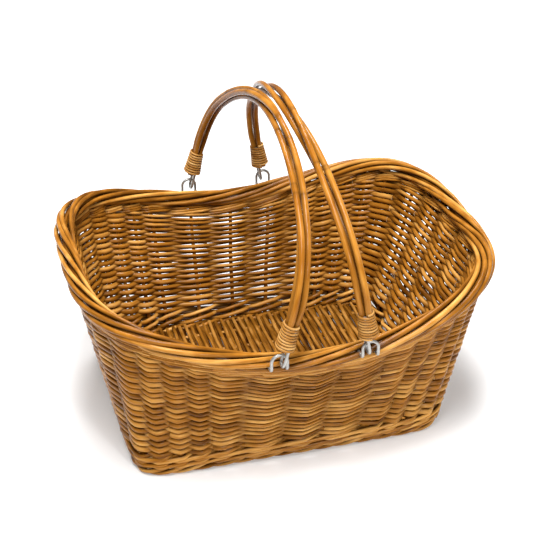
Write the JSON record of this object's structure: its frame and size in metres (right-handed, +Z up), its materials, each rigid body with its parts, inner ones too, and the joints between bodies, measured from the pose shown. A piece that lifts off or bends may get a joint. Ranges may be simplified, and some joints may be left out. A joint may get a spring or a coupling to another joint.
{
  "type": "woven market basket",
  "caption": "Boat-shaped woven willow market basket with a rolled border, a flat rectangular foot and two swing handles on wire staples.",
  "frame": {"origin": "on the ground, under the middle of the rim", "axes": "+X along the basket's length, +Y across it to the back, +Z up"},
  "size_m": [0.458, 0.4292, 0.353],
  "materials": {
    "willow": "satin",
    "handle_willow": "satin",
    "binding_willow": "satin",
    "wire": "zinc plated"
  },
  "bodies": {
    "basket": {"foot_border": "willow", "floor_sticks": "willow", "floor_weave": "willow", "lower_waling": "willow", "side_stakes": "willow", "corner_stakes": "willow", "side_weave": "willow", "upper_waling": "willow", "rim_border": "willow", "left_front_staple": "wire", "left_back_staple": "wire", "right_front_staple": "wire", "right_back_staple": "wire"},
    "left_handle": {"left_handle_rod_1": "handle_willow", "left_handle_rod_2": "handle_willow", "left_handle_rod_3": "handle_willow", "left_handle_front_binding": "binding_willow", "left_handle_front_hook": "wire", "left_handle_back_binding": "binding_willow", "left_handle_back_hook": "wire"},
    "right_handle": {"right_handle_rod_1": "handle_willow", "right_handle_rod_2": "handle_willow", "right_handle_rod_3": "handle_willow", "right_handle_front_binding": "binding_willow", "right_handle_front_hook": "wire", "right_handle_back_binding": "binding_willow", "right_handle_back_hook": "wire"}
  },
  "joints": [
    {"name": "left_handle_swing", "type": "hinge", "parent": "basket", "child": "left_handle", "pos_m": [-0.0467, 0, 0.1655], "axis": [0, -1, 0], "range_deg": [0, 86]},
    {"name": "right_handle_swing", "type": "hinge", "parent": "basket", "child": "right_handle", "pos_m": [0.0467, 0, 0.1655], "axis": [0, 1, 0], "range_deg": [0, 79]}
  ]
}
